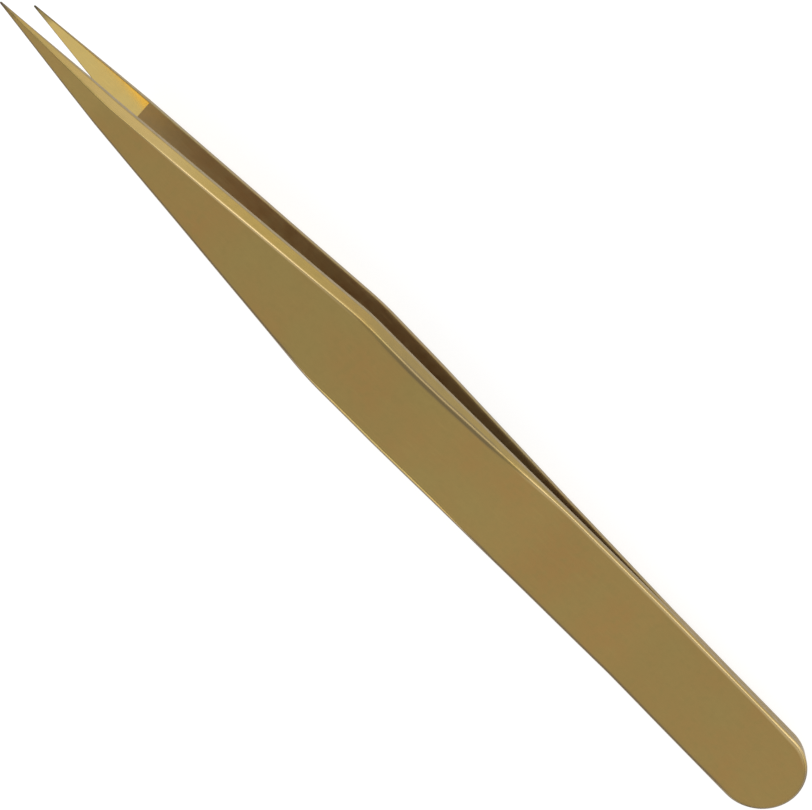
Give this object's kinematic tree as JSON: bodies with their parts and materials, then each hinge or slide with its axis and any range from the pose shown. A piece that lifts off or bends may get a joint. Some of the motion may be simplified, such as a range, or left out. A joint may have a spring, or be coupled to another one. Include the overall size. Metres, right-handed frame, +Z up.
{
  "type": "watchmaker tweezers",
  "caption": "Brass watchmaker tweezers: flat blades joined face to face at a round heel, bowed open and tapering to fine sharp points.",
  "frame": {"origin": "on the table under the middle of the tweezers, which lie on the lower blade's outer face", "axes": "+X along the tweezers from the heel to the tips, +Y across the blades, +Z up from the table"},
  "size_m": [0.1251, 0.0104, 0.0145],
  "materials": {
    "upper_blade": "satin brushed brass, softly tarnished, with brighter ground bevels",
    "lower_blade": "satin brushed brass, softly tarnished, with brighter ground jaws"
  },
  "bodies": {
    "root": {"upper_blade": "upper_blade", "lower_blade": "lower_blade"}
  },
  "joints": []
}
